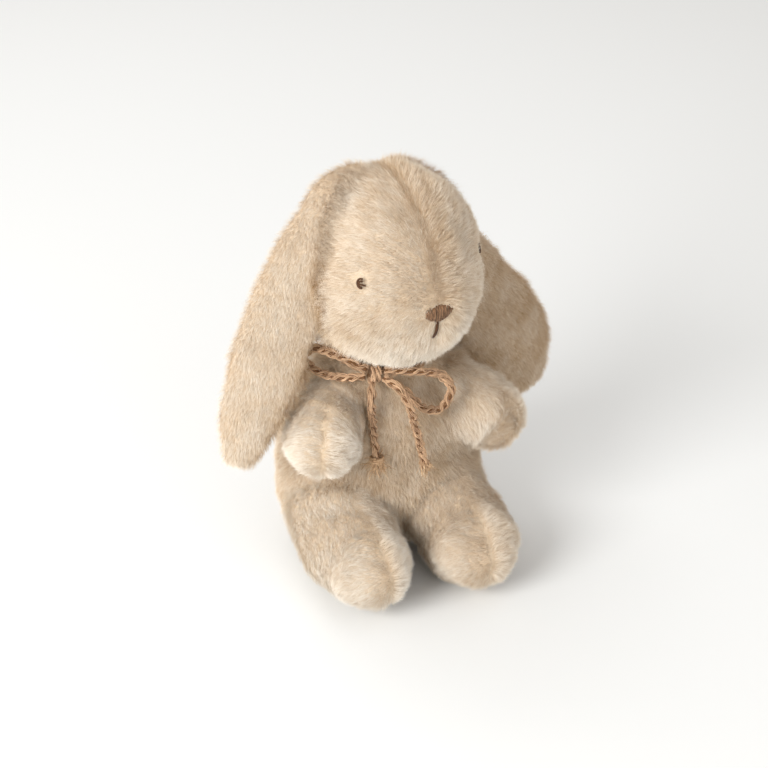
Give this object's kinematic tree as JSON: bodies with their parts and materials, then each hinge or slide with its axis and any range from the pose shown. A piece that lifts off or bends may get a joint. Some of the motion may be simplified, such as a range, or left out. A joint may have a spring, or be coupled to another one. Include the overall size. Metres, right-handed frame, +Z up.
{
  "type": "stuffed bunny rabbit",
  "caption": "Small sitting plush rabbit in cream pile fabric with long lop ears, a stitched face and a twine bow at the neck.",
  "frame": {"origin": "middle of the seat, on the surface that it sits on", "axes": "+Z up, the body faces -Y, its right side is -X"},
  "size_m": [0.1353, 0.1025, 0.153],
  "materials": {
    "pile_fabric": "soft cream faux fur, 2 to 4 mm pile",
    "fibre": "loose white polyester filling, hidden",
    "beans": "thin pouch of small pellets, hidden",
    "thread": "brown satin-stitched embroidery thread",
    "twine": "natural tan jute twine, matt and hairy"
  },
  "bodies": {
    "torso": {"torso_front_panel": "pile_fabric", "torso_back_panel": "pile_fabric", "torso_fill": "fibre", "seat_bean_pouch": "beans", "tail_cover": "pile_fabric", "tail_fill": "fibre", "twine_knot": "twine", "twine_neck_band": "twine", "twine_loop_right": "twine", "twine_loop_left": "twine", "twine_tail_right": "twine", "twine_tail_left": "twine"},
    "head": {"head_panel_right": "pile_fabric", "head_panel_left": "pile_fabric", "head_fill": "fibre", "eye_right": "thread", "eye_left": "thread", "nose": "thread", "mouth": "thread"},
    "ear_right": {"ear_right_upper_panel": "pile_fabric", "ear_right_under_panel": "pile_fabric"},
    "ear_left": {"ear_left_upper_panel": "pile_fabric", "ear_left_under_panel": "pile_fabric"},
    "arm_right": {"arm_right_outer_panel": "pile_fabric", "arm_right_inner_panel": "pile_fabric", "arm_right_fill": "fibre"},
    "arm_left": {"arm_left_outer_panel": "pile_fabric", "arm_left_inner_panel": "pile_fabric", "arm_left_fill": "fibre"},
    "leg_right": {"leg_right_outer_panel": "pile_fabric", "leg_right_inner_panel": "pile_fabric", "leg_right_fill": "fibre"},
    "leg_left": {"leg_left_outer_panel": "pile_fabric", "leg_left_inner_panel": "pile_fabric", "leg_left_fill": "fibre"}
  },
  "joints": [
    {"name": "head_turn", "type": "hinge", "parent": "torso", "child": "head", "pos_m": [0, -0.011, 0.086], "axis": [0, 0, 1], "range_deg": [-20, 20], "stiffness_Nm_per_rad": 0.05},
    {"name": "ear_right_lift", "type": "hinge", "parent": "head", "child": "ear_right", "pos_m": [-0.0071, -0.00819, 0.149], "axis": [-0.1736, 0.9848, 0], "range_deg": [0, 60]},
    {"name": "ear_left_lift", "type": "hinge", "parent": "head", "child": "ear_left", "pos_m": [0.00553, -0.00495, 0.1475], "axis": [0.1736, -0.9848, 0], "range_deg": [0, 60]},
    {"name": "arm_right_raise", "type": "hinge", "parent": "torso", "child": "arm_right", "pos_m": [-0.019, -0.016, 0.067], "axis": [-1, 0, 0], "range_deg": [-10, 15], "stiffness_Nm_per_rad": 0.02},
    {"name": "arm_left_raise", "type": "hinge", "parent": "torso", "child": "arm_left", "pos_m": [0.019, -0.016, 0.067], "axis": [-1, 0, 0], "range_deg": [-10, 15], "stiffness_Nm_per_rad": 0.02},
    {"name": "leg_right_splay", "type": "hinge", "parent": "torso", "child": "leg_right", "pos_m": [-0.02, -0.016, 0.019], "axis": [0, 0, -1], "range_deg": [0, 25], "stiffness_Nm_per_rad": 0.02},
    {"name": "leg_left_splay", "type": "hinge", "parent": "torso", "child": "leg_left", "pos_m": [0.02, -0.016, 0.019], "axis": [0, 0, 1], "range_deg": [0, 25], "stiffness_Nm_per_rad": 0.02}
  ]
}
